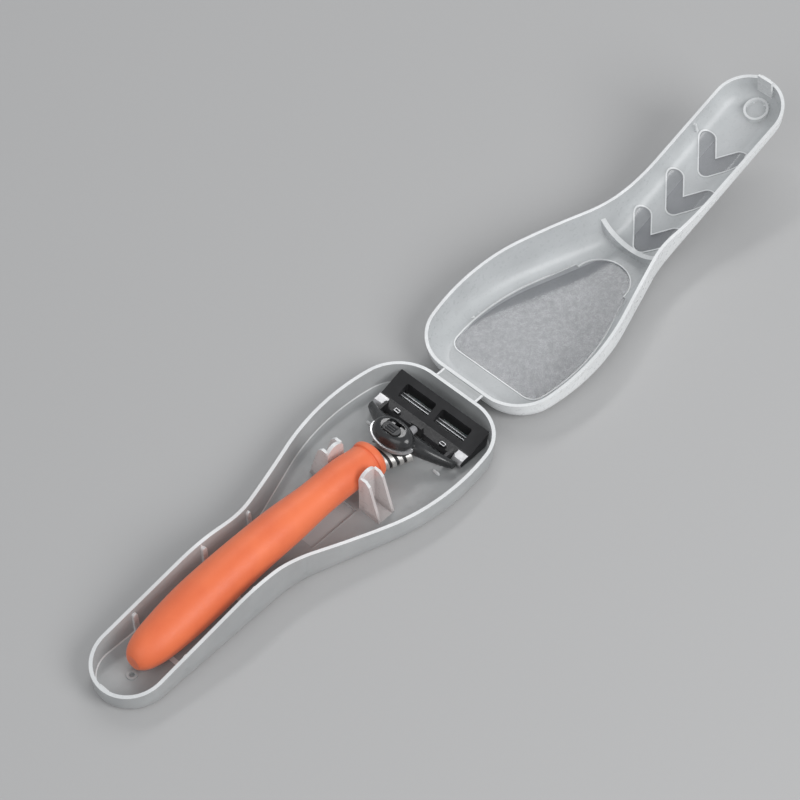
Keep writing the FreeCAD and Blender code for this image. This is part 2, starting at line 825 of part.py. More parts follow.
def make_nose(reach):
    """Round nose that guides the plunger, drawn out at its front by a reach."""
    return Part.makeCylinder(nose_radius, nose_back() - nose_depth + reach,
                             razor_spot(nose_back(), 0, floor_top + plunger_lift), FreeCAD.Vector(1, 0, 0))


def make_hub(form, yoke):
    """Head housing with the plunger's bore, the button's pocket and the yoke's seat."""
    bore = Part.makeCylinder(plunger_radius + plunger_fit, bore_back() - nose_depth + cut_overrun,
                             razor_spot(bore_back(), 0, floor_top + plunger_lift), FreeCAD.Vector(1, 0, 0))
    pocket = rounded_block(button_back() + button_gap, button_front() - button_travel - button_gap,
                           button_half_width + button_gap, button_floor(), cut_overrun)
    slot = plain_box(
        razor_spot(button_back() + button_gap, -ejector_width / 2 - button_gap,
                   button_floor() - ejector_drop - button_gap),
        razor_spot(button_front() - button_travel - button_gap,
                   ejector_width / 2 + button_gap, button_floor() + button_gap))
    return form.cut([bore, pocket, slot, yoke]).removeSplitter()


def make_hub_trim(form):
    """Bright lip round the handle side of the housing."""
    waist = hub_shares[1]
    low = floor_top + hub_lift + waist[0] * hub_height - trim_drop_share * trim_height
    plate = Part.Face(hub_layer(*waist, trim_thickness))
    plate.translate(FreeCAD.Vector(0, 0, -trim_drop_share * trim_height))
    band = plate.extrude(FreeCAD.Vector(0, 0, trim_height))
    handle_side = plain_box(razor_spot(hub_depth, -hub_width, low - trim_height),
                            razor_spot(hub_depth + hub_length, hub_width, low + 2 * trim_height))
    return band.common(handle_side).cut(form)


def button_floor():
    """Height of the button's pocket floor."""
    return floor_top + hub_lift + hub_height - button_pocket


def button_back():
    """Depth of the button's handle-side end."""
    return hub_depth + button_length / 2 + button_travel / 2


def button_front():
    """Depth of the button's blade-side end."""
    return button_back() - button_length


def spring_room():
    """Length behind the plunger that its spring takes."""
    return plunger_travel + plunger_spring_turns * spring_wire


def make_button():
    """Thumb piece that slides towards the cartridge, with its thumb ridges."""
    low = button_floor() + button_gap / 2
    cap = rounded_block(button_back(), button_front(), button_half_width, low, button_height)
    ridges = []
    for number in range(button_ridge_count):
        depth = button_front() + button_length * (number + 1) / (button_ridge_count + 1)
        ridges.append(Part.makeCylinder(
            button_ridge_radius, button_half_width,
            razor_spot(depth, -button_half_width / 2, low + button_height), FreeCAD.Vector(0, 1, 0)))
    return cap.fuse(ridges)


def rounded_block(back, front, half_width, low, height):
    """Upright block with the rounded plan of the button."""
    block = plain_box(razor_spot(back, -half_width, low), razor_spot(front, half_width, low + height))
    upright = [edge for edge in block.Edges if edge.BoundBox.ZLength > height / 2]
    return block.makeFillet(button_round_share * button_length, upright)


def make_ejector():
    """Tongue under the button that pushes the yoke off its seat."""
    top = button_floor() + button_gap / 2
    back = button_back() - button_gap
    return plain_box(razor_spot(back, -ejector_width / 2, top),
                     razor_spot(back - ejector_thickness, ejector_width / 2,
                                top - ejector_drop + button_gap))


def coil(radius, length, turns, start, direction):
    """Coil spring along one direction, as one unbroken wire."""
    helix = Part.makeHelix(length / turns, length, radius)
    profile = Part.Wire(Part.Circle(FreeCAD.Vector(radius, 0, 0), FreeCAD.Vector(0, 1, 0),
                                    spring_wire / 2).toShape())
    spring = Part.Wire(helix).makePipeShell([profile], True, True)
    turn = FreeCAD.Rotation(FreeCAD.Vector(0, 0, 1), direction)
    spring.Placement = FreeCAD.Placement(start, turn)
    return spring


def make_button_spring():
    """Return spring in front of the ejector tongue."""
    back = button_back() - button_gap - ejector_thickness - spring_wire / 2 - button_gap / 2
    front = button_front() - button_travel - button_gap / 2 + spring_wire / 2
    height = button_floor() - button_spring_drop
    return coil(button_spring_radius, back - front, button_spring_turns,
                razor_spot(back, 0, height), FreeCAD.Vector(1, 0, 0))


def plunger_front():
    """Depth of the plunger's tip, just behind the cartridge's cam."""
    return cartridge_front + cartridge_depth + plunger_cam_gap


def make_plunger():
    """Sprung pusher that returns the cartridge, with a domed tip."""
    base = razor_spot(plunger_front() + plunger_length, 0, floor_top + plunger_lift)
    rod = Part.makeCylinder(plunger_radius, plunger_length, base, FreeCAD.Vector(1, 0, 0))
    tip = [edge for edge in rod.Edges if edge.BoundBox.XLength < plunger_fit
           and edge.BoundBox.XMin > base.x + plunger_length / 2]
    return rod.makeFillet(plunger_radius / 2, tip)


def make_plunger_spring():
    """Spring behind the plunger."""
    front = plunger_front() + plunger_length + spring_wire / 2 + plunger_fit
    length = plunger_travel + spring_room()
    return coil(plunger_spring_radius, length, plunger_spring_turns,
                razor_spot(front, 0, floor_top + plunger_lift), FreeCAD.Vector(-1, 0, 0))


def cartridge_foot():
    """Height of the blade plane over the hinge."""
    return floor_top + cartridge_floor_gap


def cartridge_point(share, height_share, y):
    """Point of the cartridge's section."""
    return razor_spot(cartridge_front + share * cartridge_depth, y,
                      cartridge_foot() + height_share * cartridge_height)


def cartridge_plan(height, radius):
    """Plan outline round the cartridge at one height, with its two front corners rounded."""
    front, half = cartridge_front, cartridge_half_width
    back = cartridge_front + 2 * cartridge_depth
    bend = radius * (1.0 - math.sqrt(0.5))
    edges = [
        Part.LineSegment(razor_spot(back, -half, height), razor_spot(front + radius, -half, height)),
        Part.Arc(razor_spot(front + radius, -half, height), razor_spot(front + bend, bend - half, height),
                 razor_spot(front, radius - half, height)),
        Part.LineSegment(razor_spot(front, radius - half, height),
                         razor_spot(front, half - radius, height)),
        Part.Arc(razor_spot(front, half - radius, height), razor_spot(front + bend, half - bend, height),
                 razor_spot(front + radius, half, height)),
        Part.LineSegment(razor_spot(front + radius, half, height), razor_spot(back, half, height)),
        Part.LineSegment(razor_spot(back, half, height), razor_spot(back, -half, height)),
    ]
    return Part.Wire([edge.toShape() for edge in edges])


def cartridge_slab():
    """Cartridge section drawn out across the razor, its front corners drawn in towards the blades."""
    corners = [cartridge_point(share, height, -cartridge_half_width) for share, height in cartridge_shares]
    face = Part.Face(Part.makePolygon(corners + corners[:1]))
    slab = face.extrude(FreeCAD.Vector(0, 2 * cartridge_half_width, 0))
    low = cartridge_foot()
    plan = Part.makeLoft([cartridge_plan(low, cartridge_toe_radius),
                          cartridge_plan(low + cartridge_height, cartridge_corner)], True, True)
    return slab.common(plan)


def pivot_point(y):
    """Point of the cartridge's pivot axis."""
    return razor_spot(cartridge_front + cartridge_depth + pivot_behind, y, cartridge_foot() + pivot_lift)


def cartridge_strip(share, half_length):
    """Soft strip let into the blade side of the cartridge."""
    front = cartridge_front + share * cartridge_depth
    return plain_box(razor_spot(front, -half_length, cartridge_foot() - strip_proud),
                     razor_spot(front + strip_width, half_length, cartridge_foot() + strip_depth))


def blade_depth(number):
    """Depth of one blade's cutting edge."""
    return cartridge_front + blade_first_share * cartridge_depth + number * blade_pitch


def ear_inner():
    """Inner face of a pivot ear, which stands beside the clip."""
    return clip_inner - ear_gap - ear_thickness


def make_rinse_window():
    """Upright block of one rinse window, with rounded corners."""
    window = plain_box(
        razor_spot(cartridge_front + rinse_front_share * cartridge_depth, rinse_half_bar,
                   cartridge_foot() - cut_overrun),
        razor_spot(cartridge_front + rinse_back_share * cartridge_depth, rinse_outer,
                   cartridge_foot() + 2 * cartridge_height))
    upright = [edge for edge in window.Edges if edge.BoundBox.ZLength > cartridge_height]
    return window.makeFillet(rinse_corner, upright)


def make_cartridge_frame():
    """Cartridge body with rinse windows, blade slot, cam, pads and pivot ears."""
    frame = cartridge_slab()
    disc = Part.makeCylinder(ear_radius, ear_thickness, pivot_point(ear_inner()), FreeCAD.Vector(0, 1, 0))
    web = plain_box(pivot_point(ear_inner()) - FreeCAD.Vector(0, 0, pivot_lift),
                    pivot_point(ear_inner()) + FreeCAD.Vector(2 * pivot_behind, ear_thickness, ear_radius))
    ears = both_sides(disc.fuse(web))
    back = cartridge_front + cartridge_depth
    pad_low = cartridge_foot() + strip_depth
    cam = plain_box(razor_spot(back, -cam_half_width, pad_low),
                    razor_spot(back - cam_length, cam_half_width, pad_low + cam_height))
    pad_top = cartridge_foot() + cartridge_shares[4][1] * cartridge_height + pad_height
    pads = both_sides(plain_box(
        razor_spot(back - cam_length, pad_offset - pad_half_width, pad_low),
        razor_spot(back - cam_length - pad_length, pad_offset + pad_half_width, pad_top)))
    frame = frame.fuse(ears + [cam] + pads)
    last = blade_depth(blade_count - 1) + blade_thickness + blade_lean
    slot_front = blade_depth(0) - blade_slot_margin
    slot_back = last + blade_slot_margin
    slot = plain_box(
        razor_spot(slot_front, -blade_half_length - blade_end_gap, cartridge_foot() - cut_overrun),
        razor_spot(slot_back, blade_half_length + blade_end_gap, cartridge_foot() + blade_slot_height))
    windows = both_sides(make_rinse_window())
    hole = Part.makeCylinder(pin_radius + pin_fit, 2 * cartridge_half_width + cut_overrun,
                             pivot_point(-cartridge_half_width - cut_overrun / 2), FreeCAD.Vector(0, 1, 0))
    strips = [cartridge_strip(lube_share, strip_half_length),
              cartridge_strip(guard_share, guard_half_length)]
    return frame.cut([slot, hole] + windows + strips).removeSplitter()


def make_blade(number):
    """One leaning blade, held in the cartridge's slot."""
    front = blade_depth(number)
    low = cartridge_foot() + blade_lift
    corners = [(front, low), (front + blade_thickness, low),
               (front + blade_thickness + blade_lean, low + blade_height),
               (front + blade_lean, low + blade_height)]
    points = [razor_spot(depth, -blade_half_length, height) for depth, height in corners]
    face = Part.Face(Part.makePolygon(points + points[:1]))
    return face.extrude(FreeCAD.Vector(0, 2 * blade_half_length, 0))


def make_clip():
    """Metal clip bent round the guard side of the cartridge, on the far end."""
    corners = [cartridge_point(share, height, clip_inner) for share, height in cartridge_shares]
    section = Part.Face(Part.makePolygon(corners + corners[:1]))
    band = section.makeOffset2D(clip_thickness).cut(section)
    band = band.extrude(FreeCAD.Vector(0, clip_length, 0))
    start = cartridge_front + clip_start_share * cartridge_depth
    keep = plain_box(razor_spot(start, clip_inner, cartridge_foot() - cartridge_height),
                     razor_spot(start + cartridge_depth, clip_inner + clip_length,
                                cartridge_foot() + 2 * cartridge_height))
    return band.common(keep)


def make_yoke():
    """Glossy crescent that carries the cartridge between its two arm tips."""
    tip = pivot_point(0)
    sections = []
    far_rows = [(shares, 1.0) for shares in yoke_shares]
    near_rows = [(shares, -1.0) for shares in reversed(yoke_shares[:-1])]
    for (across, back, climb, thick), side in far_rows + near_rows:
        centre = FreeCAD.Vector(tip.x - back * yoke_centre_behind, side * across * yoke_tip_y,
                                tip.z + climb * yoke_centre_lift)
        length = yoke_tip_half_length + thick * (yoke_half_length - yoke_tip_half_length)
        height = yoke_tip_half_height + thick * (yoke_half_height - yoke_tip_half_height)
        ellipse = Part.Ellipse(centre + FreeCAD.Vector(length, 0, 0),
                               centre + FreeCAD.Vector(0, 0, height), centre)
        sections.append(Part.Wire(ellipse.toShape()))
    yoke = Part.makeLoft(sections, True, False)
    clevis = Part.makeCylinder(ear_radius + ear_gap, ear_thickness + 2 * ear_gap,
                               pivot_point(ear_inner() - ear_gap), FreeCAD.Vector(0, 1, 0))
    pin = Part.makeCylinder(pin_radius, clip_inner + pin_root - ear_inner(), pivot_point(ear_inner()),
                            FreeCAD.Vector(0, 1, 0))
    return yoke.cut(both_sides(clevis) + [make_nose(cut_overrun)]).fuse(both_sides(pin))


def make_nodes():
    """All pieces of the case and the razor in it, by name."""
    nodes = {"tray": make_tray(), "lid": make_lid(), "hinge_web": make_hinge_web()}
    core = make_handle_core()
    yoke = make_yoke()
    hub_form = make_hub_form()
    sleeve, rings = make_neck(core)
    nodes["handle_core"] = core.cut(hub_form)
    nodes["handle_grip"] = make_handle_grip(core)
    nodes["neck_sleeve"] = sleeve.cut([hub_form, yoke])
    nodes["neck_rings"] = rings.cut(hub_form)
    nodes["hub_housing"] = make_hub(hub_form, yoke)
    nodes["hub_trim"] = make_hub_trim(hub_form)
    nodes["release_button"] = make_button()
    nodes["button_spring"] = make_button_spring()
    nodes["ejector"] = make_ejector()
    nodes["plunger"] = make_plunger()
    nodes["plunger_spring"] = make_plunger_spring()
    nodes["yoke"] = yoke
    nodes["cartridge_frame"] = make_cartridge_frame()
    for number in range(blade_count):
        nodes["blade_%d" % (number + 1)] = make_blade(number)
    nodes["lubricating_strip"] = cartridge_strip(lube_share, strip_half_length)
    nodes["guard_strip"] = cartridge_strip(guard_share, guard_half_length)
    nodes["clip_far"], nodes["clip_near"] = both_sides(make_clip())
    return nodes


def main():
    os.makedirs("parts", exist_ok=True)
    nodes = make_nodes()
    # The origin is at the middle of the open case's footprint, on the table
    low = min(shape.optimalBoundingBox(False).XMin for shape in nodes.values())
    high = max(shape.optimalBoundingBox(False).XMax for shape in nodes.values())
    shift = FreeCAD.Vector(-(low + high) / 2, 0, 0)
    for name, shape in nodes.items():
        shape.translate(shift)
        shape.exportStep("parts/%s.step" % name)
        print(name, len(shape.Solids), shape.isValid(), round(shape.Volume, 1))
    pivot = pivot_point(0) + shift
    print("hinge axis at", round(shift.x, 3), hinge_height, "opening", open_angle)
    print("cartridge pivot at", [round(value, 3) for value in pivot])


main()
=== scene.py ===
import json
import math

import bmesh
import bpy
from bpy.props import (
    FloatProperty,
    FloatVectorProperty,
    IntProperty,
    PointerProperty,
)
from mathutils import Matrix, Vector


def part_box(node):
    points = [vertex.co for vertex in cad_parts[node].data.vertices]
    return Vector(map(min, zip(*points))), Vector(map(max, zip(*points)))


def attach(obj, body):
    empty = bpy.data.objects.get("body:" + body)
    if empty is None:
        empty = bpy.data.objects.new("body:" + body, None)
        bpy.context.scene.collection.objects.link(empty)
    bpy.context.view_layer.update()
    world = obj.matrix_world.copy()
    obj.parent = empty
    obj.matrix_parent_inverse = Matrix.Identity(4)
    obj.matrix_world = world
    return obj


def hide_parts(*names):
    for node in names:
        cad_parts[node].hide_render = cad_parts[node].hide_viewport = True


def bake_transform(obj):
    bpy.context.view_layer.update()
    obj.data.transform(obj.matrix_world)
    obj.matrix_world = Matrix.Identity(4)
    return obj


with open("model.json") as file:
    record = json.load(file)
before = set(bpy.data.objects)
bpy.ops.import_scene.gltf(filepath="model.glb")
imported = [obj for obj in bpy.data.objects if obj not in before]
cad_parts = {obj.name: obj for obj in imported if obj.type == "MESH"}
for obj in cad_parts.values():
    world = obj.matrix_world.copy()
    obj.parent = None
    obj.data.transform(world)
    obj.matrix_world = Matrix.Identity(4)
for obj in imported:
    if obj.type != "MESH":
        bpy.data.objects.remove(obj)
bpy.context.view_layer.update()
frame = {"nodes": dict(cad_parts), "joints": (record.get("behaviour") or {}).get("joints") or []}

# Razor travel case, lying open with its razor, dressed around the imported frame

NODES = frame["nodes"]
LID_HINGE = next(joint for joint in frame["joints"] if joint["name"] == "lid_hinge")
HINGE = Vector(LID_HINGE["pos_m"])

# Places on the shells, in metres, that the finishes follow; a station is a distance from the closed
# case's hinge end
HINGE_HALF_GAP = 0.0019
TRAY_FLOOR = 0.0012
TRAY_FOOT = 0.0006
TRAY_EDGE_LOW = 0.0066
TRAY_RIBS, TRAY_RIB_HALF = (0.089, 0.111, 0.143), 0.00105
WINDOW_FRONT, WINDOW_BACK, WINDOW_HALF, WINDOW_MARGIN = 0.0577, 0.0792, 0.0070, 0.0002
POST_STATION, POST_HALF_LENGTH = 0.0529, 0.0040
POST_INNER, POST_OUTER = 0.0066, 0.0176
CEILING = 0.0014
CEILING_START = 0.09115
CEILING_RADIUS = 0.0388
CEILING_ANGLE = math.radians(20.07)
PANEL_HEIGHT, PANEL_END = 0.00125, 0.0850
BEAD_WIDTH = 0.0005
SADDLE_STATION, SADDLE_HALF = 0.0900, 0.00105
LID_RIB, LID_RIB_HALF = 0.1410, 0.00055
BOSS_STATION, BOSS_INNER, BOSS_OUTER = 0.1616, 0.0036, 0.0049
LATCH_FRONT, LATCH_BACK, LATCH_HALF_WIDTH = 0.1664, 0.1680, 0.0033
CHEVRON_STATIONS = (0.0956, 0.1142, 0.1330)
CHEVRON_ARM, CHEVRON_SPREAD, CHEVRON_HALF = 0.0093, 0.0074, 0.0030
CLOSING = Matrix.Rotation(math.radians(LID_HINGE["range_deg"][1]), 3, Vector(LID_HINGE["axis"]))

# How far up, or to the side, a face looks when it is a rim, a rounding, a wall and so on
RIM_UP, POST_TOP_UP, SADDLE_UP = 0.8, 0.5, 0.3
FOOT_UP_LEAST, FOOT_UP_MOST = 0.15, 0.97
PANEL_UP, BEAD_UP, BEAD_SIDE_UP = 0.97, 0.985, 0.3
UPRIGHT, SIDEWAYS = 0.2, 0.3
OUTWARD, CROWN_TURN = 0.04, 0.012
BLADE_EDGE_UP = 0.9
# Heights of the lid's outward normal over which the band's painted glow fades to the crown's grey
BAND_FADE_END, BAND_FADE_START = -0.94, -0.5

# How far over the lid's inside these features begin, in metres
LATCH_OVER, LID_RIM_OVER, SADDLE_OVER, BOSS_OVER = 0.003, 0.002, 0.001, 0.0002
BEAD_OVER, BEAD_SIDE_OVER = 0.00014, 0.0003

# Steps round and along the small pieces; the eyelet's profile tells whether a ring of points lies outside,
# at which share of the height, and how far it grows, as a share of the wall
EYELET_STEPS, EYELET_ROUNDNESS = 32, 0.35
EYELET_PROFILE = (
    (True, 0.0, 0.0), (True, 0.8, 0.0), (True, 1.0, -0.12),
    (False, 1.0, 0.12), (False, 0.8, 0.0), (False, 0.0, 0.0),
)
STOP_ROWS, STOP_STEPS, STOP_TIP = 12, 16, 0.02

# Lamps, in metres: how far to the right, towards the camera and up from the case they stand, and their sizes
KEY_PLACE, KEY_SIZE = (0.7, 0.55, 0.7), 0.7
FILL_PLACE, FILL_SIZE = (-0.5, 0.8, 0.8), 0.9
STRIP_WIDTH, STRIP_LENGTH = 0.12, 0.9

# Camera: its sensor in millimetres, and the nearest and furthest that it sees in metres
SENSOR_WIDTH = 36.0
CLIP_NEAR, CLIP_FAR = 0.05, 50.0

bl_info = {
    "name": "Razor Case",
    "version": (1, 0, 0),
    "blender": (4, 5, 0),
    "location": "View3D > Sidebar > Razor Case",
    "description": "Dresses an open razor case and the razor in it",
    "category": "Object",
}


class CaseSettings(bpy.types.PropertyGroup):
    """Sizes and colours of the two shells and their strap."""

    tray_color: FloatVectorProperty(
        name="Tray", description="Milky grey of the tray", subtype="COLOR",
        size=3, min=0, max=1, default=(0.55, 0.565, 0.57))
    lid_color: FloatVectorProperty(
        name="Lid", description="Milky grey of the lid's inside", subtype="COLOR",
        size=3, min=0, max=1, default=(0.64, 0.66, 0.67))
    # The band colour, much paler than the lid, paints the glow of light passing through the lid's outside
    # walls.
    band_glow_color: FloatVectorProperty(
        name="Lid band", description="Paler outside of the lid's leaning walls", subtype="COLOR",
        size=3, min=0, max=1, default=(0.93, 0.945, 0.95))
    panel_color: FloatVectorProperty(
        name="Panel", description="Clear grey of the lid's panel and chevrons", subtype="COLOR",
        size=3, min=0, max=1, default=(0.27, 0.28, 0.30))
    # The posts' pale pink paints the warm light bounced from the orange grip, and the posts' glow.
    post_bounce_color: FloatVectorProperty(
        name="Posts", description="Clip posts, warmed by the grip beside them", subtype="COLOR",
        size=3, min=0, max=1, default=(0.86, 0.81, 0.80))
    # The rim colour is paler than the walls: it paints the highlight and glow where light gathers on the
    # shells' edges.
    rim_color: FloatVectorProperty(
        name="Rim", description="Colour of the shells' edges, where light gathers", subtype="COLOR",
        size=3, min=0, max=1, default=(0.78, 0.795, 0.80))
    plastic_cover: FloatProperty(
        name="Cover", description="How much one wall face hides what lies behind it", subtype="FACTOR",
        min=0, max=1, default=0.62)
    rim_cover: FloatProperty(
        name="Rim cover", description="How much an edge hides what lies behind it", subtype="FACTOR",
        min=0, max=1, default=0.9)
    panel_cover: FloatProperty(
        name="Panel cover", description="Cover of the polished panel in the lid", subtype="FACTOR",
        min=0, max=1, default=0.55)
    strap_color: FloatVectorProperty(
        name="Strap", description="Grey of the thin hinge strap", subtype="COLOR",
        size=3, min=0, max=1, default=(0.42, 0.435, 0.44))
    # The strap's ends take the rims' paler colour, painted highlight and glow where the real strap is
    # thicker.
    strap_end: FloatProperty(
        name="Strap end", description="Width of the strap's thicker pale ends", unit="LENGTH",
        min=0.0002, max=0.003, default=0.0008)
    stop_place: FloatVectorProperty(
        name="Stop place", description="Middle of the far stop's foot", subtype="TRANSLATION",
        unit="LENGTH", size=3, default=(-0.0282, 0.0158, 0.00115))
    stop_length: FloatProperty(
        name="Stop length", description="Length of the small stops behind the razor's head", unit="LENGTH",
        min=0.001, max=0.01, default=0.0034)
    stop_height: FloatProperty(
        name="Stop height", description="Height of the small stops behind the razor's head", unit="LENGTH",
        min=0.0005, max=0.003, default=0.0011)
    strap_thin: FloatProperty(
        name="Strap thinning", description="Thickness left along the strap's fold line", unit="LENGTH",
        min=0.0001, max=0.001, default=0.00025)
    strap_rows: IntProperty(
        name="Strap rows", description="Rows of faces across the fold", min=8, max=64, default=24)


class RazorSettings(bpy.types.PropertyGroup):
    """Colours of the razor's finishes, and the place and size of its eyelets."""

    grip_color: FloatVectorProperty(
        name="Grip", description="Soft orange of the handle", subtype="COLOR",
        size=3, min=0, max=1, default=(0.90, 0.20, 0.075))
    grip_shade: FloatVectorProperty(
        name="Grip shade", description="Deeper orange in the grip's mottling", subtype="COLOR",
        size=3, min=0, max=1, default=(0.82, 0.165, 0.06))
    plated_color: FloatVectorProperty(
        name="Plating", description="Bright plated trim", subtype="COLOR",
        size=3, min=0, max=1, default=(0.62, 0.62, 0.63))
    neck_color: FloatVectorProperty(
        name="Neck", description="Pale satin silver of the ribbed neck", subtype="COLOR",
        size=3, min=0, max=1, default=(0.56, 0.55, 0.53))
    housing_color: FloatVectorProperty(
        name="Housing", description="Glossy charcoal of the head", subtype="COLOR",
        size=3, min=0, max=1, default=(0.022, 0.023, 0.024))
    cartridge_color: FloatVectorProperty(
        name="Cartridge", description="Satin black of the cartridge", subtype="COLOR",
        size=3, min=0, max=1, default=(0.013, 0.013, 0.014))
    clip_color: FloatVectorProperty(
        name="Clips", description="Bare aluminium of the end clips and eyelets", subtype="COLOR",
        size=3, min=0, max=1, default=(0.52, 0.52, 0.53))
    plunger_color: FloatVectorProperty(
        name="Plunger", description="Grey of the return plunger", subtype="COLOR",
        size=3, min=0, max=1, default=(0.28, 0.28, 0.29))
    eyelet_place: FloatVectorProperty(
        name="Eyelet place", description="Middle of the far eyelet's foot", subtype="TRANSLATION",
        unit="LENGTH", size=3, default=(-0.01954, 0.0108, 0.00485))
    eyelet_size: FloatVectorProperty(
        name="Eyelet size", description="Outer length, width and height of an eyelet", subtype="XYZ",
        unit="LENGTH", size=3, default=(0.0016, 0.0026, 0.0004))
    eyelet_wall: FloatProperty(
        name="Eyelet wall", description="Width of an eyelet's ring", unit="LENGTH",
        min=0.0001, max=0.001, default=0.00045)
    steel_color: FloatVectorProperty(
        name="Blade steel", description="Ground steel", subtype="COLOR",
        size=3, min=0, max=1, default=(0.62, 0.63, 0.65))
    strip_color: FloatVectorProperty(
        name="Lubricating strip", description="Waxy strip by the blades", subtype="COLOR",
        size=3, min=0, max=1, default=(0.55, 0.72, 0.66))


class StageSettings(bpy.types.PropertyGroup):
    """Camera, lamps and floor."""

    floor_color: FloatVectorProperty(
        name="Floor", description="Pale floor", subtype="COLOR",
        size=3, min=0, max=1, default=(0.47, 0.47, 0.47))
    floor_size: FloatProperty(
        name="Floor size", description="Side of the floor", unit="LENGTH", min=1, default=6.0)
    eye: FloatVectorProperty(
        name="Eye", description="Camera's place, from the hinge axis", subtype="TRANSLATION", unit="LENGTH",
        size=3, default=(-0.4707, -0.4171, 0.7638))
    azimuth: FloatProperty(
        name="Azimuth", description="Camera's turn round the upright axis", subtype="ANGLE",
        default=math.radians(-46.549))
    elevation: FloatProperty(
        name="Elevation", description="Camera's height over the horizon", subtype="ANGLE",
        default=math.radians(50.855))
    roll: FloatProperty(
        name="Roll", description="Camera's turn round its own axis", subtype="ANGLE",
        default=math.radians(-0.3))
    lens: FloatProperty(
        name="Lens", description="Focal length in millimetres, for a sensor 36 mm wide", min=10,
        default=127.23)
    key_power: FloatProperty(
        name="Key lamp", description="Power of the large lamp on the right", unit="POWER", default=7.0)
    fill_power: FloatProperty(
        name="Fill lamp", description="Power of the lamp behind the camera", unit="POWER", default=2.5)
    strip_power: FloatProperty(
        name="Strip lamp", description="Power of the long lamp that the panel mirrors", unit="POWER",
        default=2.5)
    sky_color: FloatVectorProperty(
        name="Sky colour", description="Faintly cool colour of the light from all round", subtype="COLOR",
        size=3, min=0, max=1, default=(0.95, 0.97, 1.0))
    sky: FloatProperty(
        name="Sky", description="Strength of the even light from all round", min=0, default=0.42)


# Finishes

def finish(name, **sockets):
    """New material whose steady values are set on its shader's own sockets."""
    material = bpy.data.materials.new(name)
    material.use_nodes = True
    shader = shader_of(material)
    for socket, value in sockets.items():
        key = socket.replace("_", " ").title().replace("Ior", "IOR")
        if hasattr(value, "__len__"):
            value = (*value, 1.0) if len(value) == 3 else tuple(value)
        shader.inputs[key].default_value = value
    return material


def shader_of(material):
    """The material's principled shader."""
    return material.node_tree.nodes["Principled BSDF"]


def noise(material, grain, detail=3.0, stretch=(1.0, 1.0, 1.0)):
    """Noise in the piece's own space whose blobs are about one grain across, stretched along the axes."""
    nodes, links = material.node_tree.nodes, material.node_tree.links
    place = nodes.new("ShaderNodeTexCoord")
    mapping = nodes.new("ShaderNodeMapping")
    mapping.inputs["Scale"].default_value = [1.0 / (grain * part) for part in stretch]
    texture = nodes.new("ShaderNodeTexNoise")
    texture.inputs["Scale"].default_value = 1.0
    texture.inputs["Detail"].default_value = detail
    links.new(place.outputs["Object"], mapping.inputs["Vector"])
    links.new(mapping.outputs["Vector"], texture.inputs["Vector"])
    return texture.outputs["Fac"]


def spread(material, value, low, high, start=0.35, end=0.65):
    """A texture value spread between two numbers."""
    node = material.node_tree.nodes.new("ShaderNodeMapRange")
    node.inputs["From Min"].default_value = start
    node.inputs["From Max"].default_value = end
    node.inputs["To Min"].default_value = low
    node.inputs["To Max"].default_value = high
    material.node_tree.links.new(value, node.inputs["Value"])
    return node.outputs["Result"]


def two_tone(material, value, first, second):
    """Colour that runs between two tones with a texture value."""
    node = material.node_tree.nodes.new("ShaderNodeMix")
    node.data_type = "RGBA"
    material.node_tree.links.new(spread(material, value, 0.0, 1.0), node.inputs["Factor"])
    node.inputs["A"].default_value = (*first, 1.0)
    node.inputs["B"].default_value = (*second, 1.0)
    return node.outputs["Result"]


def join(material, value, socket):
    """Leads a texture value to one of the shader's sockets."""
    material.node_tree.links.new(value, shader_of(material).inputs[socket])


def relief(material, value, depth, strength=1.0):
    """Bumps the surface by a texture value, on top of any relief it already has."""
    node = material.node_tree.nodes.new("ShaderNodeBump")
    node.inputs["Strength"].default_value = strength
    node.inputs["Distance"].default_value = depth
    normal = shader_of(material).inputs["Normal"]
    if normal.is_linked:
        material.node_tree.links.new(normal.links[0].from_socket, node.inputs["Normal"])
    material.node_tree.links.new(value, node.inputs["Height"])
    material.node_tree.links.new(node.outputs["Normal"], normal)


def shaded(color, share):
    """A colour brought down or up by a share."""
    return tuple(min(1.0, part * share) for part in color)


def milky_plastic(name, color, cover, roughness):
    """Translucent moulded plastic: cloudy, with a fine satin skin."""
    material = finish(name, base_color=color, ior=1.49, alpha=cover, specular_ior_level=0.5)
    cloud = noise(material, grain=0.012, detail=4.0)
    join(material, two_tone(material, cloud, shaded(color, 0.95), shaded(color, 1.04)), "Base Color")
    skin = noise(material, grain=0.0016, detail=3.0)
    join(material, spread(material, skin, roughness - 0.04, roughness + 0.05), "Roughness")
    relief(material, skin, depth=0.000006, strength=0.3)
    relief(material, noise(material, grain=0.014, detail=2.0), depth=0.00008, strength=0.25)
    return material


def glow_banded_plastic(name, color, crown, cover, roughness):
    """Milky plastic with a painted glow: palest on upright walls, it fades to the crown's grey where it
    turns under.
    """
    material = milky_plastic(name, color, cover, roughness)
    nodes, links = material.node_tree.nodes, material.node_tree.links
    place = nodes.new("ShaderNodeTexCoord")
    normal = nodes.new("ShaderNodeSeparateXYZ")
    links.new(place.outputs["Normal"], normal.inputs["Vector"])
    fade = spread(material, normal.outputs["Z"], 1.0, 0.0, BAND_FADE_END, BAND_FADE_START)
    node = nodes.new("ShaderNodeMix")
    node.data_type = "RGBA"
    links.new(fade, node.inputs["Factor"])
    links.new(shader_of(material).inputs["Base Color"].links[0].from_socket, node.inputs["A"])
    node.inputs["B"].default_value = (*crown, 1.0)
    join(material, node.outputs["Result"], "Base Color")
    return material


